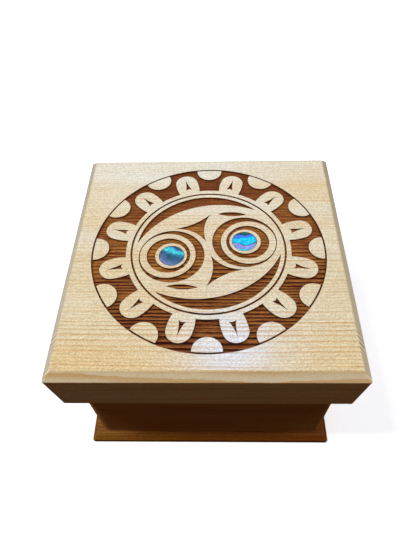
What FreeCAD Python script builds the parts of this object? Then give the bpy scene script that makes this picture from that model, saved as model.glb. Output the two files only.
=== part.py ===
"""A bentwood box: one kerfed and folded side board, a pegged base and a carved lift-off lid.

Millimetres. The origin is the middle of the underside, +Z up, and the front faces -Y.
"""
import math
import os

import FreeCAD
import Part

V = FreeCAD.Vector

# The folded side board
body_width = 103.2
wall = 9.5
bend_radius = 4.6
body_height = 47.2
joined_corner_round = 2.5

# The three kerfed corners and the fourth, rabbeted one
kerf_gap = 0.3
kerf_skin = 3.2
rabbet_lip = 3.6
glue_gap = 0.1

# The base board
base_width = 111.3
base_rim = 4.2
base_bevel_in = 2.2
base_bevel_down = 1.7
base_panel_rise = 6.8
base_edge_round = 0.6
base_corner_round = 1.0
base_panel_clearance = 0.3

# The lid board
lid_width = 114.3
lid_side_height = 23.1
lid_undercut = 1.2
lid_bevel_in = 3.05
lid_bevel_down = 3.2
lid_plug_depth = 4.8
lid_plug_clearance = 0.6
lid_edge_round = 0.5
lid_corner_round = 0.7

# Pegs of hard wood, driven through the joined corner and up through the base
peg_diameter = 3.2
peg_clearance = 0.05
corner_peg_length = 22.0
corner_peg_count = 3
corner_peg_margin = 10.0
base_peg_length = 15.0
base_peg_past_corner_peg = 3.8

# The round carving on the lid and the two shell discs in it
carving_radius = 48.0
carving_offset = 0.5
carving_depth = 1.0
rim_line = 0.7
border_inner_radius = 33.9
ring_line_outer = 32.0
ring_line_inner = 31.2
petal_count = 12
petal_length = 11.0
petal_half_width = 4.9
scallop_radius = 5.6
pattern_turn = 14.0
shell_diameter = 10.0
shell_thickness = 1.2
shell_edge_round = 0.2
shell_clearance = 0.2
shell_from_centre = 15.4

# Where one piece meets the next
body_half = body_width / 2
inner_half = body_half - wall
body_bottom = base_rim
body_top = body_bottom + body_height
arris_height = body_top + lid_side_height
lid_top = arris_height + lid_bevel_down
wall_middle = body_half - wall / 2
carving_floor = lid_top - carving_depth


def box(x0, y0, z0, x1, y1, z1):
    return Part.makeBox(x1 - x0, y1 - y0, z1 - z0, V(x0, y0, z0))


def square_block(half, z0, z1):
    return box(-half, -half, z0, half, half, z1)


def rounded_square(half, corner_radius, z):
    """A square outline at height z, its corners rounded."""
    straight = half - corner_radius
    slant = corner_radius * math.sqrt(0.5)
    edges = []
    for turn in (0, 90, 180, 270):
        start = V(half, -straight, z)
        end = V(half, straight, z)
        mid = V(straight + slant, straight + slant, z)
        after = V(straight, half, z)
        side = [Part.makeLine(start, end), Part.Arc(end, mid, after).toShape()]
        for edge in side:
            edge.rotate(V(0, 0, 0), V(0, 0, 1), turn)
            edges.append(edge)
    return Part.Wire(edges)


def turned_block(profile, corner_radius):
    """A square block whose four sides all follow one profile of (half width, height)."""
    outlines = [rounded_square(half, corner_radius, z) for half, z in profile]
    return Part.makeLoft(outlines, True, True)


def upright_edges(shape):
    """The edges that run mainly up and down."""
    found = []
    for edge in shape.Edges:
        ends = [vertex.Point for vertex in edge.Vertexes]
        if len(ends) == 2 and abs(ends[0].z - ends[1].z) > 0.7 * edge.Length:
            found.append(edge)
    return found


def joined_corner_edge(board):
    """The upright edge of the front right corner."""
    corner = V(body_half, -body_half, body_bottom)
    for edge in upright_edges(board):
        if edge.distToShape(Part.Vertex(corner))[0] < 0.001:
            return edge


def peg_blank(length, radius, foot, direction):
    return Part.makeCylinder(radius, length, foot, direction)


def make_peg(length, foot, direction):
    """A round peg whose hidden end has a small lead."""
    lead = 0.4
    radius = peg_diameter / 2
    shank = peg_blank(length - lead, radius, foot, direction)
    tip_foot = foot + direction * (length - lead)
    tip = Part.makeCone(radius, radius - lead, lead, tip_foot, direction)
    return shank.fuse(tip).removeSplitter()


def make_side_board():
    """One board folded round three corners, its ends meeting at the front right corner."""
    blank = square_block(body_half, body_bottom, body_top)
    bends = []
    for edge in upright_edges(blank):
        at = edge.Vertexes[0].Point
        if not (at.x > 0 and at.y < 0):
            bends.append(edge)
    board = blank.makeFillet(bend_radius, bends)
    board = board.cut(square_block(inner_half, body_bottom - 1, body_top + 1))

    # The two cheeks of each kerf come together on the diagonal of the folded corner
    reach = (wall - kerf_skin) * math.sqrt(2)
    for turn in (45, 135, 225):
        slot = box(-1, -kerf_gap / 2, body_bottom - 1, reach, kerf_gap / 2, body_top + 1)
        slot.rotate(V(0, 0, 0), V(0, 0, 1), turn)
        sx = math.copysign(inner_half, math.cos(math.radians(turn)))
        sy = math.copysign(inner_half, math.sin(math.radians(turn)))
        slot.translate(V(sx, sy, 0))
        board = board.cut(slot)

    # The front wall's end is rabbeted, and the right wall's end seats in it
    seat = -body_half + rabbet_lip
    low, high = body_bottom - 1, body_top + 1
    board = board.cut(box(inner_half - glue_gap, seat, low, inner_half, -inner_half, high))
    board = board.cut(box(inner_half - glue_gap, seat, low, body_half + 1, seat + glue_gap, high))
    return board.makeFillet(joined_corner_round, [joined_corner_edge(board)])


def make_base_board():
    """The bottom: a rim that shows all round and a raised panel that locates the sides."""
    half = base_width / 2
    ease = base_edge_round
    bevel_foot = base_rim - base_bevel_down
    profile = [
        (half - ease / 2, 0),
        (half, ease / 2),
        (half, bevel_foot - ease),
        (half - ease / 3, bevel_foot),
        (half - ease, bevel_foot + ease / 2),
        (half - base_bevel_in + ease / 2, base_rim - ease / 3),
        (half - base_bevel_in - ease / 2, base_rim),
    ]
    rim = turned_block(profile, base_corner_round)
    panel = square_block(inner_half - base_panel_clearance, base_rim, base_rim + base_panel_rise)
    return rim.fuse(panel).removeSplitter()


def make_lid_blank():
    """The thick lid board: undercut sides, bevelled upper edges and a plug below."""
    half = lid_width / 2
    ease = lid_edge_round
    foot = half - lid_undercut
    profile = [
        (foot - ease / 2, body_top),
        (foot, body_top + ease / 2),
        (half, arris_height - ease / 2),
        (half - ease / 5, arris_height),
        (half - ease / 2, arris_height + ease / 3),
        (half - lid_bevel_in + ease / 2, lid_top - ease / 2),
        (half - lid_bevel_in, lid_top - ease / 5),
        (half - lid_bevel_in - ease / 2, lid_top),
    ]
    slab = turned_block(profile, lid_corner_round)
    plug = square_block(inner_half - lid_plug_clearance, body_top - lid_plug_depth, body_top)
    return slab.fuse(plug).removeSplitter()


def disc(x, y, radius):
    """A flat round face on the carving's floor."""
    edge = Part.makeCircle(radius, V(x, y, carving_floor))
    return Part.Face(Part.Wire(edge))


def polar(radius, degrees):
    angle = math.radians(degrees)
    return radius * math.cos(angle), radius * math.sin(angle)


def arc_shape(*corners):
    """A flat face through corners (x, y, bulge), where the bulge is how far the side that
    leaves the corner bows out to its left."""
    edges = []
    for index, (x, y, bulge) in enumerate(corners):
        next_x, next_y, _ = corners[(index + 1) % len(corners)]
        start = V(x, y, carving_floor)
        end = V(next_x, next_y, carving_floor)
        along = (end - start).normalize()
        middle = (start + end) * 0.5 + V(-along.y, along.x, 0) * bulge
        edges.append(Part.Arc(start, middle, end).toShape())
    return Part.Face(Part.Wire(edges))


def turned(face, degrees):
    copy = face.copy()
    copy.rotate(V(0, 0, 0), V(0, 0, 1), degrees)
    return copy


def carved_border():
    """The band of petals: the ground that is cut away round the raised shapes."""
    ground = disc(0, 0, carving_radius)
    raised = [disc(0, 0, border_inner_radius)]
    inside_rim = disc(0, 0, carving_radius - rim_line)
    scallop = disc(carving_radius - 1.3, 0, scallop_radius).common(inside_rim)
    root = border_inner_radius - 0.5
    neck = border_inner_radius + petal_length - petal_half_width
    petal = arc_shape(
        (root, 0.5 - petal_half_width, -0.3),
        (neck, -petal_half_width, -petal_half_width),
        (neck, petal_half_width, -0.3),
        (root, petal_half_width - 0.5, -0.3),
    )
    slit_foot = border_inner_radius + 1.5
    slit_tip = border_inner_radius + petal_length - 1.9
    slit = arc_shape((slit_foot, -1.4, 0.3), (slit_tip, 0, 0.3), (slit_foot, 1.4, 0.7))
    slits = []
    step = 360 / petal_count
    for index in range(petal_count):
        raised.append(turned(scallop, step * index))
        raised.append(turned(petal, step * (index + 0.5)))
        slits.append(turned(slit, step * (index + 0.5)))
    return [ground.cut(raised)] + slits


def carved_waves():
    """The two curling waves inside the border, one the half turn of the other."""
    faces = [disc(0, 0, ring_line_outer).cut(disc(0, 0, ring_line_inner))]
    centre = shell_from_centre
    curl = disc(centre, 0, 13.4).cut(disc(centre + 1.5, -0.7, 11.4))
    inner_curl = disc(centre + 1.2, -0.6, 8.9).cut(disc(centre + 0.2, -0.1, 6.5))
    reach = ring_line_inner - 1.6
    outer_bulge = reach * (1 - math.cos(math.radians(64)))
    swell = arc_shape((*polar(reach, 160), outer_bulge), (*polar(reach, 32), 5.6 - outer_bulge))
    wedge = arc_shape((-11.6, 14.0, -1.5), (5.6, 18.6, -1.9), (0.0, 3.4, -2.3))
    lens = arc_shape((8.4, 17.9, 1.3), (20.4, 14.3, 1.1))
    for half_turn in (0, 180):
        for face in (curl, inner_curl, swell, wedge, lens):
            faces.append(turned(face, pattern_turn + half_turn))
    return faces


def shell_places():
    places = {}
    for side, half_turn in (("right", 0), ("left", 180)):
        x, y = polar(shell_from_centre, pattern_turn + half_turn)
        places[side] = V(x + carving_offset, y, lid_top - shell_thickness)
    return places


def make_lid_board():
    lid = make_lid_blank()
    cutters = []
    for face in carved_border() + carved_waves():
        cutter = face.extrude(V(0, 0, carving_depth + 1))
        cutter.translate(V(carving_offset, 0, 0))
        cutters.append(cutter)
    pocket_radius = shell_diameter / 2 + shell_clearance
    for place in shell_places().values():
        cutters.append(Part.makeCylinder(pocket_radius, shell_thickness + 1, place))
    return lid.cut(cutters)


def make_shell_disc(place):
    """A flat round of shell, its upper edge rubbed round."""
    blank = Part.makeCylinder(shell_diameter / 2, shell_thickness, place)
    rim = [edge for edge in blank.Edges if edge.BoundBox.ZMin > place.z + shell_thickness / 2]
    return blank.makeFillet(shell_edge_round, rim)


def corner_peg_places():
    """Feet of the pegs through the joined corner, on the right face, from the bottom up."""
    seat_middle = (-body_half + rabbet_lip - inner_half) / 2
    low = body_bottom + corner_peg_margin
    high = body_top - corner_peg_margin
    step = (high - low) / (corner_peg_count - 1)
    return [V(body_half, seat_middle, low + step * index) for index in range(corner_peg_count)]


def base_peg_places():
    """Feet of the pegs up through the base, two along each side, under the wall's middle.
    They stand inward of the corner pegs' hidden ends."""
    along = body_half - corner_peg_length - base_peg_past_corner_peg
    places = []
    for turn in (0, 90, 180, 270):
        for shift in (-along, along):
            foot = V(shift, -wall_middle, 0)
            angle = math.radians(turn)
            x = foot.x * math.cos(angle) - foot.y * math.sin(angle)
            y = foot.x * math.sin(angle) + foot.y * math.cos(angle)
            places.append(V(x, y, 0))
    return places


def save(name, shape):
    os.makedirs("parts", exist_ok=True)
    shape.exportStep("parts/" + name + ".step")
    bounds = shape.BoundBox
    size = "%.1f x %.1f x %.1f" % (bounds.XLength, bounds.YLength, bounds.ZLength)
    print(name, size, "valid" if shape.isValid() else "BROKEN", len(shape.Solids))


side_board = make_side_board()
base_board = make_base_board()
up = V(0, 0, 1)
inward = V(-1, 0, 0)
hole_radius = peg_diameter / 2 + peg_clearance
hole_spare = 0.3

for number, foot in enumerate(corner_peg_places(), 1):
    hole = peg_blank(corner_peg_length + hole_spare + 1, hole_radius, foot - inward, inward)
    side_board = side_board.cut(hole)
    save("corner_peg_%d" % number, make_peg(corner_peg_length, foot, inward))

for number, foot in enumerate(base_peg_places(), 1):
    hole = peg_blank(base_peg_length + hole_spare + 1, hole_radius, foot - up, up)
    side_board = side_board.cut(hole)
    base_board = base_board.cut(hole)
    save("base_peg_%d" % number, make_peg(base_peg_length, foot, up))

save("side_board", side_board)
save("base_board", base_board)
save("lid_board", make_lid_board())
for side, place in shell_places().items():
    save("shell_disc_" + side, make_shell_disc(place))
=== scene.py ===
# %% [markdown]
# # A small bentwood box
# A bentwood box has four walls made from one cedar board. The board is kerfed across at
# three corners, steamed and folded, and its ends are pegged together at the fourth.
# The solids come ready made as the frame. This lesson gives them their wood, their burnt
# carving and their shell, and lights them as in a small product studio.

# %% Load the solids
import math

import bpy
import numpy as np
from mathutils import Matrix, Vector


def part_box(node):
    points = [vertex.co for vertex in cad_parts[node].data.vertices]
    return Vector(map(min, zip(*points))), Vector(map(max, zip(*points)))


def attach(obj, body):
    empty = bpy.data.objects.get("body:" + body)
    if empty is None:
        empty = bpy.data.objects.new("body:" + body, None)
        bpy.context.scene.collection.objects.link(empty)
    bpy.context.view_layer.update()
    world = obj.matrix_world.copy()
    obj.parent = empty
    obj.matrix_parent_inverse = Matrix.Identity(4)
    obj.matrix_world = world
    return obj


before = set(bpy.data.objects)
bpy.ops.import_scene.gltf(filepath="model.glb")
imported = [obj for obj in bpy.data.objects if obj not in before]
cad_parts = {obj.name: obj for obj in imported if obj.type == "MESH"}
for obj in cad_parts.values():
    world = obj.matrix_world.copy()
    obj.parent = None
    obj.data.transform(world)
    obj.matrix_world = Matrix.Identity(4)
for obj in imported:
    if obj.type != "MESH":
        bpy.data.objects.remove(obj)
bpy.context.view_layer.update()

print("pieces in the frame:", sorted(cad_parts))

# %% [markdown]
# ## Colours and nodes
# A colour is easiest to read as the hex value that a painting program shows, but Blender's
# sockets take linear light. One function turns the first into the second.
# A material is a small tree of nodes, and each call of `add_node` adds one of them.
# Three kinds do most of the work here. Math takes its numbers in sockets 0, 1 and 2. Mix
# blends the colours in sockets 6 and 7 by the amount in 0. MapRange turns the range from
# socket 1 to 2 into the one from 3 to 4, or from 0 to 1 where these are left out.

# %% Colour and node helpers
def linear(code):
    """An sRGB hex colour as the linear values that a socket takes."""
    channels = [int(code[start:start + 2], 16) / 255 for start in (1, 3, 5)]
    light = [c / 12.92 if c <= 0.04045 else ((c + 0.055) / 1.055) ** 2.4 for c in channels]
    return (*light, 1.0)


def add_node(tree, kind, inputs=None, stops=None, **settings):
    """Adds one node and gives back its outputs. inputs holds values or other nodes' outputs,
    by socket name or number, and settings are the node's own, such as its operation."""
    node = tree.nodes.new("ShaderNode" + kind)
    for name, value in settings.items():
        setattr(node, name, value)
    for key, value in (inputs or {}).items():
        if isinstance(value, bpy.types.NodeSocket):
            tree.links.new(value, node.inputs[key])
        else:
            node.inputs[key].default_value = value
    if stops:
        elements = node.color_ramp.elements
        while len(elements) < len(stops):
            elements.new(0.5)
        for element, (place, colour) in zip(elements, stops):
            element.position = place
            element.color = colour
    return node.outputs


def new_material(name):
    """A material with an empty tree and its output node."""
    material = bpy.data.materials.new(name)
    material.use_nodes = True
    material.node_tree.nodes.clear()
    output = material.node_tree.nodes.new("ShaderNodeOutputMaterial")
    return material, material.node_tree, output


def grey(level):
    return (level, level, level, 1.0)


print("cream cedar in linear light:", [round(c, 3) for c in linear("#E0CCA0")[:3]])

# %% [markdown]
# ## Sizes
# The frame is in metres, but wood is easier to think of in millimetres. Where the lid's top
# is and where the shell discs sit are read from the solids; the carving's and bevel's sizes are
# given.

# %% Sizes in millimetres
MM = 0.001
lid_low, lid_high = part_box("lid_board")
lid_top = lid_high.z / MM
carving_centre = (0.5, 0.0)
carving_radius = 48.0
carving_depth = 1.0
bevel_down = 3.2
shell_right = (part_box("shell_disc_right")[0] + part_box("shell_disc_right")[1]) / (2 * MM)
shell_left = (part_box("shell_disc_left")[0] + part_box("shell_disc_left")[1]) / (2 * MM)
print("lid top at %.1f mm, lid %.1f mm wide" % (lid_top, (lid_high.x - lid_low.x) / MM))

# %% [markdown]
# ## How cedar grows
# Each year adds a wide pale band and a narrow dark one, so a log is a stack of tubes round
# its pith. A board is a slice of that stack. If the pattern is worked out in space from
# the distance to the pith, the lines on the top, the bevels and the end grain all meet at
# the edges, as they do in a real board. An image wrapped round the board would not do that.
# The distance is bent by three long sine waves, because no tree is straight, and the same
# sum is used twice: by the nodes for colour and by Python for the carved relief.

# %% Growth rings, in nodes and in Python
# Each wave is its height in mm, its turn per mm along x, y and z, and its start
RING_WAVES = [
    (0.45, (0.021, 0.013, 0.017), 0.4),
    (0.22, (0.047, -0.031, 0.043), 2.1),
    (0.08, (0.140, 0.110, -0.070), 4.0),
]
# Some years are wider than others: how much, how often, and the start
YEAR_SPREAD = [(0.60, 0.31, 1.0), (0.25, 0.70, 0.0)]
# How dark the wood is from the start of one year's growth to its end
YEAR_PROFILE = [(0.0, 0.0), (0.3, 0.08), (0.6, 0.4), (0.84, 1.0), (0.93, 0.95), (1.0, 0.0)]
# A fine noise frays the lines by up to this many mm
RING_FRAY = 0.5
# What x is multiplied by for a noise: the smaller, the longer the pattern along the grain
FRAY_SQUEEZE = 0.12
FADE_SQUEEZE = 0.07
CLOUD_SQUEEZE = 0.2
FIBRE_SQUEEZE = 0.06
FLECK_SQUEEZE = 0.55


def millimetres(tree):
    """The point on the piece, in mm, fixed to the piece when it moves."""
    place = add_node(tree, "TexCoord")["Object"]
    return add_node(tree, "VectorMath", {0: place, "Scale": 1 / MM}, operation="SCALE")[0]


def along_grain(tree, point, squeeze):
    """The point with its x squeezed, so that a noise is drawn out along the grain."""
    return add_node(tree, "VectorMath", {0: point, 1: (squeeze, 1, 1)}, operation="MULTIPLY")[0]


def growth_rings(tree, point, pith, ring_width):
    """Nodes that give the year's darkness, 0 to 1, and the year's number at a point in mm.
    The log lies along x, and pith is where its middle is, (y, z)."""
    from_pith = add_node(tree, "VectorMath", {0: point, 1: (0, -pith[0], -pith[1])})[0]
    across = add_node(tree, "VectorMath", {0: from_pith, 1: (0, 1, 1)}, operation="MULTIPLY")[0]
    radius = add_node(tree, "VectorMath", {0: across}, operation="LENGTH")["Value"]
    for height, turn, start in RING_WAVES:
        phase = add_node(
            tree, "VectorMath", {0: point, 1: turn}, operation="DOT_PRODUCT"
        )["Value"]
        phase = add_node(tree, "Math", {0: phase, 1: start}, operation="ADD")[0]
        swing = add_node(tree, "Math", {0: phase}, operation="SINE")[0]
        radius = add_node(
            tree, "Math", {0: swing, 1: height, 2: radius}, operation="MULTIPLY_ADD"
        )[0]
    fray = add_node(
        tree,
        "TexNoise",
        {"Vector": along_grain(tree, point, FRAY_SQUEEZE), "Scale": 1.6, "Detail": 2.0},
    )["Fac"]
    radius = add_node(
        tree, "Math", {0: fray, 1: RING_FRAY, 2: radius}, operation="MULTIPLY_ADD"
    )[0]
    years = add_node(tree, "Math", {0: radius, 1: ring_width}, operation="DIVIDE")[0]
    age = years
    for spread, often, start in YEAR_SPREAD:
        phase = add_node(
            tree, "Math", {0: years, 1: often, 2: start}, operation="MULTIPLY_ADD"
        )[0]
        swing = add_node(tree, "Math", {0: phase}, operation="SINE")[0]
        age = add_node(tree, "Math", {0: swing, 1: spread, 2: age}, operation="MULTIPLY_ADD")[0]
    season = add_node(tree, "Math", {0: age}, operation="FRACT")[0]
    stops = [(place, grey(level)) for place, level in YEAR_PROFILE]
    darkness = add_node(tree, "ValToRGB", {0: season}, stops=stops)[0]
    year = add_node(tree, "Math", {0: age}, operation="FLOOR")[0]
    return darkness, year


def ring_darkness(x, y, z, pith, ring_width):
    """The same darkness for arrays of points, in Python, with the noise at its mean."""
    radius = np.hypot(y - pith[0], z - pith[1]) + RING_FRAY / 2
    for height, turn, start in RING_WAVES:
        radius = radius + height * np.sin(turn[0] * x + turn[1] * y + turn[2] * z + start)
    years = radius / ring_width
    age = years
    for spread, often, start in YEAR_SPREAD:
        age = age + spread * np.sin(years * often + start)
    places, levels = zip(*YEAR_PROFILE)
    return np.interp(age % 1.0, places, levels)


# The middle of the lid's log lies far in front of the lid and above it, as y and z in mm.
# The rings stand steep in the board, so they are close together on its top and broad on
# its front, and they cross the end grain as slanting lines.
lid_pith = (-470.0, 258.0)
lid_ring_width = 1.5
across_lid = np.linspace(-50, 50, 2001)
dark = ring_darkness(0.0, across_lid, lid_top, lid_pith, lid_ring_width) > 0.9
print("rings across 100 mm of the lid:", int(np.sum(np.diff(dark.astype(int)) > 0)))

# %% [markdown]
# ## What all the cedar shares
# Planed and oiled cedar shows three more things besides its rings. Fine fibres run along
# the grain, about a quarter of a millimetre wide and many millimetres long, with short
# flecks between them that are drawn a little coarser than they are, so that they show.
# Broad cloudy bands are warmer. On end grain the oil soaks in, so it is darker. The satin
# oil leaves the fibres standing a few hundredths of a millimetre proud, and that breaks the
# reflection of a lamp into small sparks. Every point is in mm, so a noise's scale is about
# how many of its blobs lie across one millimetre: 2.6 for fibres, 0.05 for the clouds.

# %% Cedar colour, fibres and relief
# A year's line has at least this strength, and up to that much more
LINE_LEAST, LINE_MORE = 0.32, 0.6
# What a fleck does to the colour below it: the dark ones are warmer than the pale ones
DARK_FLECK = (0.78, 0.71, 0.60, 1.0)
PALE_FLECK = (1.20, 1.23, 1.31, 1.0)


def cedar_colour(tree, point, darkness, year, early, late, warm):
    """Pale early wood, darker late wood, warmer clouds, fine fibres and short flecks.
    Each year's line has a strength of its own and fades in places along the grain."""
    strength = add_node(tree, "TexWhiteNoise", {"W": year}, noise_dimensions="1D")[0]
    strength = add_node(
        tree, "Math", {0: strength, 1: LINE_MORE, 2: LINE_LEAST}, operation="MULTIPLY_ADD"
    )[0]
    fade = add_node(
        tree,
        "TexNoise",
        {"Vector": along_grain(tree, point, FADE_SQUEEZE), "Scale": 0.5, "Detail": 2.0},
    )["Fac"]
    fade = add_node(tree, "MapRange", {0: fade, 1: 0.3, 2: 0.65, 3: 0.4, 4: 1.1})[0]
    line = add_node(tree, "Math", {0: darkness, 1: strength}, operation="MULTIPLY")[0]
    line = add_node(tree, "Math", {0: line, 1: fade}, operation="MULTIPLY")[0]
    cloud = add_node(
        tree,
        "TexNoise",
        {"Vector": along_grain(tree, point, CLOUD_SQUEEZE), "Scale": 0.05, "Detail": 3.0},
    )["Fac"]
    cloud = add_node(tree, "MapRange", {0: cloud, 1: 0.35, 2: 0.68})[0]
    colour = add_node(tree, "Mix", {0: cloud, 6: early, 7: warm}, data_type="RGBA")[2]
    colour = add_node(tree, "Mix", {0: line, 6: colour, 7: late}, data_type="RGBA")[2]
    fibre = add_node(
        tree,
        "TexNoise",
        {"Vector": along_grain(tree, point, FIBRE_SQUEEZE), "Scale": 2.6, "Detail": 3.0},
    )["Fac"]
    fibre = add_node(tree, "MapRange", {0: fibre, 1: 0.3, 2: 0.7, 3: 0.93, 4: 1.05})[0]
    fleck = add_node(
        tree,
        "TexNoise",
        {
            "Vector": along_grain(tree, point, FLECK_SQUEEZE),
            "Scale": 3.2,
            "Detail": 2.0,
            "Roughness": 0.7,
        },
    )["Fac"]
    fleck = add_node(tree, "MapRange", {0: fleck, 1: 0.35, 2: 0.65})[0]
    fleck = add_node(tree, "Mix", {0: fleck, 6: DARK_FLECK, 7: PALE_FLECK}, data_type="RGBA")[2]
    colour = add_node(
        tree, "Mix", {0: 1.0, 6: colour, 7: fibre}, data_type="RGBA", blend_type="MULTIPLY"
    )[2]
    return add_node(
        tree, "Mix", {0: 1.0, 6: colour, 7: fleck}, data_type="RGBA", blend_type="MULTIPLY"
    )[2]


def fibre_relief(tree, point, darkness, height_mm):
    """A bump node for planed cedar: standing fibres and slightly raised late wood."""
    fibre = add_node(
        tree,
        "TexNoise",
        {
            "Vector": along_grain(tree, point, 0.22),
            "Scale": 2.2,
            "Detail": 4.0,
            "Roughness": 0.6,
        },
    )["Fac"]
    grain = add_node(
        tree, "TexNoise", {"Vector": along_grain(tree, point, 0.6), "Scale": 2.6, "Detail": 1.0}
    )["Fac"]
    height = add_node(
        tree, "Math", {0: darkness, 1: 0.25, 2: fibre}, operation="MULTIPLY_ADD"
    )[0]
    height = add_node(tree, "Math", {0: grain, 1: 0.8, 2: height}, operation="MULTIPLY_ADD")[0]
    bump = add_node(
        tree, "Bump", {"Height": height, "Distance": height_mm * MM, "Strength": 1.0}
    )
    return bump[0]


def end_grain(tree):
    """How far a face looks along the grain: 0 on the sides, 1 on the board's ends."""
    normal = add_node(tree, "TexCoord")["Normal"]
    parts = add_node(tree, "SeparateXYZ", {0: normal})
    return add_node(tree, "Math", {0: parts[0]}, operation="ABSOLUTE")[0]


# %% [markdown]
# ## The lid's yellow cedar, and the burnt ground of its carving
# Yellow cedar is a cream wood with thin tan lines. The round carving has a flat ground one
# millimetre down, scorched brown. Heat bites deeper into the soft early wood than into the
# hard late wood, so the ground keeps the rings as low dark ribs. The upright walls of the
# cut are browned all over and lie in shade. Nothing needs painting by hand for this: any
# point below the top and inside the carving's circle is burnt, and a face that stands
# upright there is a wall.

# %% Scorched cedar
# Where the burning changes, as y in mm: from the first to the second it grows
RIBBED_ZONE = (20.0, -35.0)
EVEN_ZONE = (5.0, 32.0)
# Streaks along the grain: how x is squeezed, how fine, how deep, and their tone
BURNT_STREAKS = [(0.05, 1.3, 0.7, "#6A300F"), (0.10, 3.2, 0.6, "#4C1F0B")]


def scorched_colour(tree, point, darkness):
    """Golden brown between the ribs and near black on them. The back of the board was
    burnt more evenly than the front, so its ribs are fainter."""
    across = add_node(tree, "SeparateXYZ", {0: point})[1]
    front = add_node(tree, "MapRange", {0: across, 1: RIBBED_ZONE[0], 2: RIBBED_ZONE[1]})[0]
    back = add_node(
        tree, "MapRange", {0: across, 1: EVEN_ZONE[0], 2: EVEN_ZONE[1], 3: 0.0, 4: 0.85}
    )[0]
    heat = add_node(
        tree,
        "TexNoise",
        {"Vector": along_grain(tree, point, 0.4), "Scale": 0.11, "Detail": 2.0},
    )["Fac"]
    heat = add_node(tree, "MapRange", {0: heat, 1: 0.38, 2: 0.62})[0]
    ground = add_node(
        tree, "Mix", {0: heat, 6: linear("#CC8A40"), 7: linear("#A66632")}, data_type="RGBA"
    )[2]
    ground = add_node(
        tree, "Mix", {0: back, 6: ground, 7: linear("#7C4422")}, data_type="RGBA"
    )[2]
    near = add_node(tree, "Math", {0: front, 1: front}, operation="MULTIPLY")[0]
    near = add_node(tree, "Math", {0: near, 1: 0.5}, operation="MULTIPLY")[0]
    ground = add_node(
        tree, "Mix", {0: near, 6: ground, 7: linear("#804A26")}, data_type="RGBA"
    )[2]
    for squeeze, scale, depth, tone in BURNT_STREAKS:
        streak = add_node(
            tree,
            "TexNoise",
            {"Vector": along_grain(tree, point, squeeze), "Scale": scale, "Detail": 3.0},
        )["Fac"]
        streak = add_node(tree, "MapRange", {0: streak, 1: 0.46, 2: 0.66})[0]
        streak = add_node(tree, "Math", {0: streak, 1: depth}, operation="MULTIPLY")[0]
        ground = add_node(
            tree, "Mix", {0: streak, 6: ground, 7: linear(tone)}, data_type="RGBA"
        )[2]
    rib = add_node(tree, "MapRange", {0: darkness, 1: 0.08, 2: 0.7, 3: 0.0, 4: 1.0})[0]
    uneven = add_node(
        tree,
        "TexNoise",
        {"Vector": along_grain(tree, point, 0.08), "Scale": 0.45, "Detail": 2.0},
    )["Fac"]
    uneven = add_node(tree, "MapRange", {0: uneven, 1: 0.35, 2: 0.55, 3: 0.55, 4: 1.0})[0]
    strength = add_node(tree, "Math", {0: front, 1: 1.0, 2: 0.4}, operation="MULTIPLY_ADD")[0]
    rib = add_node(tree, "Math", {0: rib, 1: uneven}, operation="MULTIPLY")[0]
    rib = add_node(tree, "Math", {0: rib, 1: strength}, operation="MULTIPLY")[0]
    rib = add_node(tree, "Math", {0: rib, 1: 1.0}, operation="MINIMUM")[0]
    charred = add_node(
        tree, "Mix", {0: rib, 6: ground, 7: linear("#2E0A02")}, data_type="RGBA"
    )[2]
    speckle = add_node(
        tree,
        "TexNoise",
        {
            "Vector": along_grain(tree, point, 0.3),
            "Scale": 3.4,
            "Detail": 2.0,
            "Roughness": 0.7,
        },
    )["Fac"]
    speckle = add_node(tree, "MapRange", {0: speckle, 1: 0.35, 2: 0.65, 3: 0.7, 4: 1.3})[0]
    return add_node(
        tree, "Mix", {0: 1.0, 6: charred, 7: speckle}, data_type="RGBA", blend_type="MULTIPLY"
    )[2]


# %% [markdown]
# ## The lid board
# The lid is planed yellow cedar under satin oil: cream, with a soft sheen. One material
# serves the whole board, because the marks of the tools can be found from the place and the
# slant of each face. Separate materials would need the board cut into pieces. The front of
# the board comes from nearer the middle of the log, so it is yellower there, with stronger
# lines. Its back is paler and cooler, and that is partly a painted sheen, where the oil would
# reflect the light from behind.

# %% Lid material: the wood
back_y, front_y = 30.0, -57.0
lid_cedar, tree, output = new_material("yellow_cedar_planed_oiled_and_scorched")
point = millimetres(tree)
darkness, year = growth_rings(tree, point, lid_pith, lid_ring_width)
xyz = add_node(tree, "SeparateXYZ", {0: point})
# 1 at the front, nearer the heart; 0.5 at the back, where the paler, cooler tone is partly a
# painted sheen
heart_and_sheen = add_node(tree, "MapRange", {0: xyz[1], 1: back_y, 2: front_y, 3: 0.5, 4: 1.0})[0]
lines = add_node(tree, "Math", {0: darkness, 1: heart_and_sheen}, operation="MULTIPLY")[0]
early = add_node(
    tree, "Mix", {0: heart_and_sheen, 6: linear("#E9EBDF"), 7: linear("#E7DDB8")}, data_type="RGBA"
)[2]
late, warm = linear("#CE9436"), linear("#E4CE9A")
wood = cedar_colour(tree, point, lines, year, early, late, warm)
print("rings and fibres:", len(tree.nodes), "nodes")

# %% [markdown]
# ### End grain and bevels
# End grain soaks up oil: the rings stand out in it, and the upright ends are darker and
# browner. The bevels were sanded after the board was cut. Across the grain that opens every
# ring as a clear stripe, and the pale tone of the stripes is partly painted light, standing
# for light from the left. Along the grain it leaves cream early wood and warm late wood. A
# pale line along the lower edge is a painted highlight, where the rounded edge catches light.

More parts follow.
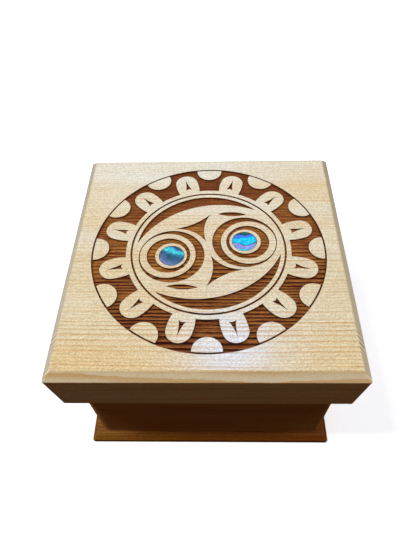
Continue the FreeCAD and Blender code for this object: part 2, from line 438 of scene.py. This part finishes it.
# %% Lid material: end grain and bevels
# How far the stripes, the painted edge highlight and the sanding cover the planed wood, 0 to 1
stripes_share, edge_highlight_share, sanded_share = 0.9, 0.4, 0.55
along = end_grain(tree)
ring_line = add_node(tree, "MapRange", {0: along, 1: 0.4, 2: 0.7})[0]
ring_line = add_node(tree, "Math", {0: ring_line, 1: darkness}, operation="MULTIPLY")[0]
wood = add_node(
    tree,
    "Mix",
    {0: ring_line, 6: wood, 7: linear("#E0C8A2")},
    data_type="RGBA",
    blend_type="MULTIPLY",
)[2]
ends = add_node(tree, "MapRange", {0: along, 1: 0.8, 2: 0.98})[0]
wood = add_node(
    tree,
    "Mix",
    {0: ends, 6: wood, 7: linear("#E0C6A0")},
    data_type="RGBA",
    blend_type="MULTIPLY",
)[2]

# Bevels across the grain: ring stripes whose pale tone is partly painted light from the left
slanted = add_node(tree, "MapRange", {0: along, 1: 0.45, 2: 0.65})[0]
not_ends = add_node(tree, "Math", {0: 1.0, 1: ends}, operation="SUBTRACT")[0]
slanted = add_node(tree, "Math", {0: slanted, 1: not_ends}, operation="MULTIPLY")[0]
stripe = add_node(tree, "MapRange", {0: darkness, 1: 0.05, 2: 0.6})[0]
stripes = add_node(
    tree, "Mix", {0: stripe, 6: linear("#FFFFEA"), 7: linear("#CCAE74")}, data_type="RGBA"
)[2]
striped = add_node(tree, "Math", {0: slanted, 1: stripes_share}, operation="MULTIPLY")[0]
wood = add_node(tree, "Mix", {0: striped, 6: wood, 7: stripes}, data_type="RGBA")[2]

# Bevels along the grain, and a painted highlight along their lower edge
depth = add_node(tree, "Math", {0: lid_top, 1: xyz[2]}, operation="SUBTRACT")[0]
off_edge = add_node(tree, "Math", {0: depth, 1: bevel_down - 0.1}, operation="SUBTRACT")[0]
off_edge = add_node(tree, "Math", {0: off_edge}, operation="ABSOLUTE")[0]
painted_edge_highlight = add_node(
    tree, "MapRange", {0: off_edge, 1: 0.45, 2: 0.1, 3: 0.0, 4: edge_highlight_share}
)[0]
sanded = add_node(tree, "MapRange", {0: depth, 1: 0.1, 2: 0.5, 3: 0.0, 4: sanded_share})[0]
on_bevel = add_node(tree, "Math", {0: depth, 1: bevel_down}, operation="LESS_THAN")[0]
sanded = add_node(tree, "Math", {0: sanded, 1: on_bevel}, operation="MULTIPLY")[0]
pale = add_node(tree, "Math", {0: painted_edge_highlight, 1: sanded}, operation="MAXIMUM")[0]
not_slanted = add_node(tree, "Math", {0: 1.0, 1: slanted}, operation="SUBTRACT")[0]
pale = add_node(tree, "Math", {0: pale, 1: not_slanted}, operation="MULTIPLY")[0]
# One pale tone serves the sanded bevels and the painted highlight on their lower edge
sanded_and_highlight_tone = add_node(
    tree, "Mix", {0: stripe, 6: linear("#FAEACC"), 7: linear("#ECC48C")}, data_type="RGBA"
)[2]
wood = add_node(tree, "Mix", {0: pale, 6: wood, 7: sanded_and_highlight_tone}, data_type="RGBA")[2]
print("with the bevels:", len(tree.nodes), "nodes")

# %% [markdown]
# ### The scorch and the oil
# All that lies inside the carving's circle and just below the top is burnt, and its upright
# walls are one brown. The satin oil is a soft coat over the planed wood. Where the wood is
# burnt it is rougher and bare, so it stays dull.

# %% Lid material: scorch and oil
scorch_margin = 0.15
scorch_reach = 1.8
to_centre = add_node(
    tree, "VectorMath", {0: point, 1: (-carving_centre[0], -carving_centre[1], 0)}
)[0]
flat = add_node(tree, "VectorMath", {0: to_centre, 1: (1, 1, 0)}, operation="MULTIPLY")[0]
from_centre = add_node(tree, "VectorMath", {0: flat}, operation="LENGTH")["Value"]
inside = add_node(
    tree, "Math", {0: from_centre, 1: carving_radius + scorch_margin}, operation="LESS_THAN"
)[0]
below_top = add_node(tree, "MapRange", {0: depth, 1: 0.02, 2: 0.2})[0]
above_plug = add_node(tree, "Math", {0: depth, 1: scorch_reach}, operation="LESS_THAN")[0]
scorched = add_node(tree, "Math", {0: inside, 1: below_top}, operation="MULTIPLY")[0]
scorched = add_node(tree, "Math", {0: scorched, 1: above_plug}, operation="MULTIPLY")[0]

ground = scorched_colour(tree, point, darkness)
normal = add_node(tree, "TexCoord")["Normal"]
upright = add_node(tree, "SeparateXYZ", {0: normal})[2]
wall = add_node(tree, "MapRange", {0: upright, 1: 0.5, 2: 0.2})[0]
ground = add_node(tree, "Mix", {0: wall, 6: ground, 7: linear("#6A3416")}, data_type="RGBA")[2]
colour = add_node(tree, "Mix", {0: scorched, 6: wood, 7: ground}, data_type="RGBA")[2]
roughness = add_node(tree, "Math", {0: scorched, 1: 0.2, 2: 0.36}, operation="MULTIPLY_ADD")[0]
coat = add_node(tree, "Math", {0: scorched, 1: -0.9, 2: 0.9}, operation="MULTIPLY_ADD")[0]
relief = fibre_relief(tree, point, darkness, 0.015)
surface = add_node(
    tree,
    "BsdfPrincipled",
    {
        "Base Color": colour,
        "Roughness": roughness,
        "IOR": 1.5,
        "Coat Weight": coat,
        "Coat Roughness": 0.19,
        "Normal": relief,
        "Coat Normal": relief,
    },
)
tree.links.new(surface[0], output.inputs[0])
print("lid cedar:", len(tree.nodes), "nodes")

# %% [markdown]
# ## The carving's ground
# The ground will be a ribbed piece of its own, so it gets a material of its own, with the
# same rings. Char drinks the oil, so it reflects less than bare wood: a low IOR and a rough
# face.

# %% Material of the carving's ground
scorched_cedar, tree, output = new_material("yellow_cedar_scorched_ground")
point = millimetres(tree)
darkness, _ = growth_rings(tree, point, lid_pith, lid_ring_width)
ground = scorched_colour(tree, point, darkness)
relief = fibre_relief(tree, point, darkness, 0.06)
surface = add_node(
    tree,
    "BsdfPrincipled",
    {"Base Color": ground, "Roughness": 0.6, "IOR": 1.15, "Normal": relief},
)
tree.links.new(surface[0], output.inputs[0])
print("scorched cedar:", len(tree.nodes), "nodes")

# %% [markdown]
# ## The red cedar of the walls
# The walls are one board, so the grain must run round the corners without a break. On the
# front and back walls the grain runs along x and on the other two along y. The sum x + y
# changes by one millimetre for each millimetre along every wall, so it serves as the
# distance along the board all the way round. The distance out from the middle of the box
# stands for depth in the board. The three give a new point, and the same ring nodes work.
# Red cedar is oiled like the lid, but more thinly, so it has a satin face and no coat.

# %% Wall material
wall_cedar, tree, output = new_material("red_cedar_folded_board_oiled")
point = millimetres(tree)
xyz = add_node(tree, "SeparateXYZ", {0: point})
length = add_node(tree, "Math", {0: xyz[0], 1: xyz[1]}, operation="ADD")[0]
off_x = add_node(tree, "Math", {0: xyz[0]}, operation="ABSOLUTE")[0]
off_y = add_node(tree, "Math", {0: xyz[1]}, operation="ABSOLUTE")[0]
depth = add_node(tree, "Math", {0: off_x, 1: off_y}, operation="MAXIMUM")[0]
board = add_node(tree, "CombineXYZ", {0: length, 1: depth, 2: xyz[2]})[0]
wall_pith, wall_ring_width = (210.0, -190.0), 1.25
darkness, year = growth_rings(tree, board, wall_pith, wall_ring_width)
early, late, warm = linear("#C09254"), linear("#84501F"), linear("#B07A3E")
wood = cedar_colour(tree, board, darkness, year, early, late, warm)
relief = fibre_relief(tree, board, darkness, 0.05)
surface = add_node(
    tree,
    "BsdfPrincipled",
    {"Base Color": wood, "Roughness": 0.45, "IOR": 1.5, "Normal": relief},
)
tree.links.new(surface[0], output.inputs[0])
print("wall cedar:", len(tree.nodes), "nodes")

# %% [markdown]
# ## The base board
# The base is a second, flat board of the same red cedar with its grain along x. Towards its
# left end it is paler: that is painted light, as from a lamp on the left.
# It lies low and in shade, and its oil is worn dull, so it reflects little.

# %% Base material
base_cedar, tree, output = new_material("red_cedar_flat_board_oiled")
point = millimetres(tree)
base_pith, base_ring_width = (-160.0, -120.0), 1.4
darkness, year = growth_rings(tree, point, base_pith, base_ring_width)
xyz = add_node(tree, "SeparateXYZ", {0: point})
# Painted light: the wood grows paler from the first x to the second, as if lit from the left
left_light_from, left_light_to = -8.0, -52.0
painted_left_light = add_node(tree, "MapRange", {0: xyz[0], 1: left_light_from, 2: left_light_to})[0]
early = add_node(
    tree, "Mix", {0: painted_left_light, 6: linear("#7E460C"), 7: linear("#946420")}, data_type="RGBA"
)[2]
late = linear("#542806")
warm = add_node(
    tree, "Mix", {0: painted_left_light, 6: linear("#723E0A"), 7: linear("#86561A")}, data_type="RGBA"
)[2]
wood = cedar_colour(tree, point, darkness, year, early, late, warm)
ends = add_node(tree, "MapRange", {0: end_grain(tree), 1: 0.3, 2: 0.95})[0]
ends = add_node(tree, "Math", {0: ends, 1: 0.5}, operation="MULTIPLY")[0]
wood = add_node(tree, "Mix", {0: ends, 6: wood, 7: linear("#5E3818")}, data_type="RGBA")[2]
relief = fibre_relief(tree, point, darkness, 0.05)
surface = add_node(
    tree, "BsdfPrincipled", {"Base Color": wood, "Roughness": 0.5, "IOR": 1.2, "Normal": relief}
)
tree.links.new(surface[0], output.inputs[0])
print("base cedar:", len(tree.nodes), "nodes")

# %% [markdown]
# ## Pegs
# A peg is a split and rounded stick of hard wood cut flush, so only its end grain shows:
# rings round its middle, finer than the cedar's, and a dark edge where glue and oil sit.

# %% Peg material
peg_wood, tree, output = new_material("hard_wood_peg_end_grain")
rings_across = 11.0
corner = add_node(tree, "TexCoord")["Generated"]
middle = add_node(tree, "VectorMath", {0: corner, 1: (-0.5, -0.5, -0.5)})[0]
normal = add_node(tree, "TexCoord")["Normal"]
facing = add_node(tree, "VectorMath", {0: normal}, operation="ABSOLUTE")[0]
flat = add_node(tree, "VectorMath", {0: (1, 1, 1), 1: facing}, operation="SUBTRACT")[0]
on_face = add_node(tree, "VectorMath", {0: middle, 1: flat}, operation="MULTIPLY")[0]
radius = add_node(tree, "VectorMath", {0: on_face}, operation="LENGTH")["Value"]
wobble = add_node(tree, "TexNoise", {"Vector": corner, "Scale": 3.0})["Fac"]
rings = add_node(
    tree, "Math", {0: radius, 1: rings_across, 2: wobble}, operation="MULTIPLY_ADD"
)[0]
rings = add_node(tree, "Math", {0: rings}, operation="FRACT")[0]
colour = add_node(
    tree, "Mix", {0: rings, 6: linear("#A8743F"), 7: linear("#6F4422")}, data_type="RGBA"
)[2]
edge = add_node(tree, "MapRange", {0: radius, 1: 0.42, 2: 0.5})[0]
colour = add_node(tree, "Mix", {0: edge, 6: colour, 7: linear("#2B170B")}, data_type="RGBA")[2]
surface = add_node(
    tree, "BsdfPrincipled", {"Base Color": colour, "Roughness": 0.55, "IOR": 1.5}
)
tree.links.new(surface[0], output.inputs[0])
print("peg wood:", len(tree.nodes), "nodes")

# %% [markdown]
# ## Abalone
# Abalone is thin sheets of pearl that the animal lays down with dark seams between them.
# Ground flat, it shows flowing bands of teal, cyan, blue and a little pink, cut by dark
# curved lines, under a polish like glass. The bands cross the disc in an order that is
# written out, bowed a little and bent by a noise, and a seam is a dark band a few tenths of
# a millimetre wide. A second noise makes each sheet shimmer. The two discs are cut from
# different parts of a shell, so one is greyer and the other bluer.

# %% Shell material
# The bands reach this far from the disc's middle, bow by this much for each square mm, and
# are bent by up to half of this many mm
BAND_REACH = 6.0
BAND_BOW = -0.045
BAND_FLOW = 5.0


def abalone(name, centre, turn, bands):
    """Polished abalone. bands are (mm across the disc, colour), from one rim to the other."""
    material, tree, output = new_material(name)
    point = millimetres(tree)
    moved = add_node(tree, "VectorMath", {0: point, 1: [-c for c in centre]})[0]
    turned = add_node(tree, "VectorRotate", {"Vector": moved, "Angle": math.radians(turn)})[0]
    parts = add_node(tree, "SeparateXYZ", {0: turned})
    flow = add_node(
        tree, "TexNoise", {"Vector": turned, "Scale": 0.22, "Detail": 2.0, "Roughness": 0.4}
    )["Fac"]
    curl = add_node(tree, "Math", {0: parts[0], 1: parts[0]}, operation="MULTIPLY")[0]
    curl = add_node(tree, "Math", {0: curl, 1: BAND_BOW}, operation="MULTIPLY")[0]
    across = add_node(tree, "Math", {0: parts[1], 1: curl}, operation="ADD")[0]
    flow = add_node(tree, "Math", {0: flow, 1: 0.5}, operation="SUBTRACT")[0]
    across = add_node(
        tree, "Math", {0: flow, 1: BAND_FLOW, 2: across}, operation="MULTIPLY_ADD"
    )[0]
    share = add_node(tree, "MapRange", {0: across, 1: -BAND_REACH, 2: BAND_REACH})[0]
    stops = [((place + BAND_REACH) / (2 * BAND_REACH), linear(tone)) for place, tone in bands]
    colour = add_node(tree, "ValToRGB", {0: share}, stops=stops)[0]
    glints = add_node(
        tree, "TexNoise", {"Vector": turned, "Scale": 0.9, "Detail": 2.0, "Distortion": 1.0}
    )["Fac"]
    glints = add_node(tree, "MapRange", {0: glints, 1: 0.35, 2: 0.65, 3: 0.7, 4: 1.25})[0]
    colour = add_node(
        tree, "Mix", {0: 1.0, 6: colour, 7: glints}, data_type="RGBA", blend_type="MULTIPLY"
    )[2]
    surface = add_node(
        tree,
        "BsdfPrincipled",
        {
            "Base Color": colour,
            "Roughness": 0.16,
            "IOR": 1.53,
            "Coat Weight": 0.5,
            "Coat Roughness": 0.04,
        },
    )
    tree.links.new(surface[0], output.inputs[0])
    return material


teal_bands = [
    (-4.6, "#7484B4"), (-2.2, "#4C6C94"), (-0.6, "#2C5878"), (0.7, "#3A98B8"),
    (2.0, "#48E0E0"), (3.2, "#3CC8DC"), (3.9, "#5C8CD0"), (4.2, "#153A50"), (4.8, "#3C7898"),
]
blue_bands = [
    (-5.0, "#2ED8EE"), (-3.8, "#7C9CEC"), (-2.0, "#A6A4EC"), (-1.6, "#123A48"),
    (-1.3, "#12C8F0"), (0.9, "#18D8FF"), (2.0, "#2A84FC"), (3.2, "#4C78F0"), (3.9, "#0C3038"),
    (4.6, "#1E7C54"),
]
shell_teal = abalone("abalone_polished_teal", shell_left, 25, teal_bands)
shell_blue = abalone("abalone_polished_blue", shell_right, -6, blue_bands)
print("shell:", shell_teal.name, "and", shell_blue.name)

# %% [markdown]
# ## Dress the solids
# The solids have the right shapes already, so each one takes its material in place.

# %% Assign materials
dress = {
    "lid_board": lid_cedar,
    "side_board": wall_cedar,
    "base_board": base_cedar,
    "shell_disc_left": shell_teal,
    "shell_disc_right": shell_blue,
}
for name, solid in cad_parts.items():
    solid.data.materials.clear()
    solid.data.materials.append(dress.get(name, peg_wood))
print("dressed:", len(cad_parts), "solids")

# %% [markdown]
# ## The ribbed ground of the carving
# On the real lid the scorched ground isn't flat: each late-wood line stands as a rib about
# a sixth of a millimetre high, and those ribs catch the light. A bump map would look right
# from above but not at a low angle, so the ribs are real. One thin disc lies on the
# carving's floor, and its height follows the same ring sum as the colour, so rib and dark
# line agree. It passes below the raised shapes, inside the wood, where nothing shows it.

# %% Ribbed ground
# All in mm: heights above the carving's floor, the gap at its wall, and the disc's thickness
rib_height = 0.16
fibre_height = 0.04
disc_lift = 0.02
disc_gap = 0.05
disc_thickness = 0.25
# The first and last rows stop just short of the rim, where they would have no length
last_row = 0.9995


def ribbed_ground():
    """A closed thin disc: rows across the grain, close together, and columns along it."""
    rows, columns = 420, 90
    reach = carving_radius - disc_gap
    floor = lid_top - carving_depth
    angle = np.linspace(-math.pi / 2, math.pi / 2, rows)
    across = np.sin(angle) * reach * last_row
    chord = np.sqrt(reach**2 - across**2)
    share = np.linspace(-1, 1, columns)
    x = chord[:, None] * share[None, :] + carving_centre[0]
    y = np.repeat(across[:, None], columns, axis=1) + carving_centre[1]
    rib = ring_darkness(x, y, floor, lid_pith, lid_ring_width)
    fibre = 0.5 + 0.5 * np.sin(y * 7.3 + 0.8 * np.sin(x * 0.21 + y) + 1.3 * np.sin(x * 0.05))
    upper = floor + disc_lift + rib_height * rib + fibre_height * fibre
    lower = np.full_like(upper, floor - disc_thickness)
    points = [np.stack([x, y, z], axis=-1).reshape(-1, 3) for z in (upper, lower)]
    vertices = np.concatenate(points) * MM

    faces = []
    under = rows * columns
    for row in range(rows - 1):
        for column in range(columns - 1):
            a = row * columns + column
            b, c, d = a + 1, a + columns + 1, a + columns
            faces.append((a, b, c, d))
            faces.append((under + a, under + d, under + c, under + b))
    rim = list(range(columns - 1))
    rim += [row * columns + columns - 1 for row in range(rows - 1)]
    rim += [(rows - 1) * columns + column for column in range(columns - 1, 0, -1)]
    rim += [row * columns for row in range(rows - 1, 0, -1)]
    for here, after in zip(rim, rim[1:] + rim[:1]):
        faces.append((here, under + here, under + after, after))

    mesh = bpy.data.meshes.new("carving_ground")
    mesh.from_pydata(vertices.tolist(), [], faces)
    mesh.polygons.foreach_set("use_smooth", [True] * len(mesh.polygons))
    mesh.materials.append(scorched_cedar)
    mesh.update()
    piece = bpy.data.objects.new("carving_ground", mesh)
    bpy.context.scene.collection.objects.link(piece)
    return piece


ground_piece = ribbed_ground()
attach(ground_piece, "lid")
print("carving ground:", len(ground_piece.data.vertices), "points")

# %% [markdown]
# ## Camera
# The photograph looks down at 54 degrees from near by, turned about two degrees to the
# left and rolled about two. Its picture is 416 by 555 pixels, with a focal length of 456
# pixels, so the lens follows from the sensor's width.

# %% Camera
picture_width = 416
focal_pixels = 456.0
pitch, yaw, roll = math.radians(54.08), math.radians(2.41), math.radians(-2.18)
camera_place = (0.00491, -0.11962, 0.22253)
camera_data = bpy.data.cameras.new("camera")
camera_data.sensor_fit = "HORIZONTAL"
camera_data.sensor_width = 36.0
camera_data.lens = focal_pixels * camera_data.sensor_width / picture_width
camera_data.clip_start = 0.01
camera = bpy.data.objects.new("camera", camera_data)
bpy.context.scene.collection.objects.link(camera)
turn = Matrix.Rotation(yaw, 3, "Z")
right = turn @ Vector((1, 0, 0))
up = turn @ Vector((0, math.sin(pitch), math.cos(pitch)))
forward = turn @ Vector((0, math.cos(pitch), -math.sin(pitch)))
rolled_right = math.cos(roll) * right + math.sin(roll) * up
rolled_up = math.cos(roll) * up - math.sin(roll) * right
axes = Matrix((rolled_right, rolled_up, -forward)).transposed()
camera.matrix_world = Matrix.Translation(camera_place) @ axes.to_4x4()
bpy.context.scene.camera = camera
print("lens %.2f mm" % camera_data.lens)

# %% [markdown]
# ## Studio
# Two soft lamps hang over the box, well out to its left and right, so that neither mirrors
# in the top when it is seen from above. They light the top and leave the front in shade.
# A small blue lamp behind the box mirrors in the coat and gives the cool sheen on the front
# of the lid, and a broad one far behind skims the bevels. Weak lamps at the sides keep the
# other walls readable.

# %% Lamps
def add_lamp(name, place, aim, size, power, colour):
    lamp = bpy.data.lights.new(name, "AREA")
    lamp.shape = "RECTANGLE"
    lamp.size, lamp.size_y = size
    lamp.energy = power
    lamp.color = linear(colour)[:3]
    holder = bpy.data.objects.new(name, lamp)
    holder.location = place
    holder.rotation_euler = (Vector(aim) - Vector(place)).to_track_quat("-Z", "Y").to_euler()
    bpy.context.scene.collection.objects.link(holder)


# Name, place and aim in metres, width and height in metres, power in watts, colour
LAMPS = [
    ("lamp_over_left", (-0.5, -0.12, 1.1), (0, -0.12, 0.07), (0.1, 0.25), 6.4, "#FFF8F0"),
    ("lamp_over_right", (0.5, -0.12, 1.1), (0, -0.12, 0.07), (0.1, 0.25), 3.2, "#FFF8F0"),
    ("lamp_behind", (0.03, 0.42, 1.0), (0, -0.03, 0.07), (0.16, 0.07), 1.35, "#4CA8FF"),
    ("lamp_far", (0.0, 1.0, 0.8), (0, 0, 0.07), (1.2, 0.5), 2.6, "#D0E2FF"),
    ("lamp_left", (-0.85, 0.1, 0.6), (0, 0, 0.05), (0.4, 0.4), 4.0, "#DCE8FF"),
    ("lamp_right", (0.85, 0.15, 0.5), (0, 0, 0.05), (0.4, 0.4), 2.1, "#FFF6E8"),
]
for lamp_settings in LAMPS:
    add_lamp(*lamp_settings)
print("lamps:", [name for name, *_ in LAMPS])

# %% [markdown]
# ## The room
# The room is white to the camera, as a photographer's paper is. To the wood it gives a
# faint warm light from all round, so that the shade is never black. Light Path tells the
# two apart, which keeps the white background from lighting the box.

# %% World
world = bpy.data.worlds.new("studio")
bpy.context.scene.world = world
world.use_nodes = True
tree = world.node_tree
tree.nodes.clear()
seen = add_node(tree, "LightPath")["Is Camera Ray"]
ambient = add_node(tree, "Background", {"Color": linear("#FFE8CC"), "Strength": 0.08})[0]
white = add_node(tree, "Background", {"Color": grey(1.0), "Strength": 1.0})[0]
sky = add_node(tree, "MixShader", {0: seen, 1: ambient, 2: white})[0]
output = tree.nodes.new("ShaderNodeOutputWorld")
tree.links.new(sky, output.inputs[0])
print("world:", world.name)

# %% [markdown]
# ## The floor
# The floor is matt white paper to the camera. It glows a little by itself near the box,
# where the shadow has to show, and fully from 600 mm on, where lamps no longer reach it. To
# the wood it gives back only a little warm light, as a table would.

# %% Floor
floor_half = 3.0
floor_z = -0.0002
glow_from, glow_to = 120.0, 600.0
floor_paint, tree, output = new_material("floor_matt_white")
seen = add_node(tree, "LightPath")["Is Camera Ray"]
paper = add_node(tree, "BsdfDiffuse", {"Color": grey(0.9)})[0]
reach = add_node(tree, "VectorMath", {0: millimetres(tree)}, operation="LENGTH")["Value"]
strength = add_node(tree, "MapRange", {0: reach, 1: glow_from, 2: glow_to, 3: 0.5, 4: 1.0})[0]
glow = add_node(tree, "Emission", {"Color": grey(1.0), "Strength": strength})[0]
lit_paper = add_node(tree, "AddShader", {0: paper, 1: glow})[0]
table = add_node(tree, "BsdfDiffuse", {"Color": linear("#4A2A14")})[0]
mixed = add_node(tree, "MixShader", {0: seen, 1: table, 2: lit_paper})[0]
tree.links.new(mixed, output.inputs[0])
floor_mesh = bpy.data.meshes.new("floor")
corners = [
    (x * floor_half, y * floor_half, floor_z) for x, y in ((-1, -1), (1, -1), (1, 1), (-1, 1))
]
floor_mesh.from_pydata(corners, [], [(0, 1, 2, 3)])
floor_mesh.materials.append(floor_paint)
floor = bpy.data.objects.new("floor", floor_mesh)
bpy.context.scene.collection.objects.link(floor)
bpy.context.scene.view_settings.view_transform = "Standard"
print("floor: %.1f m wide" % (2 * floor_half))
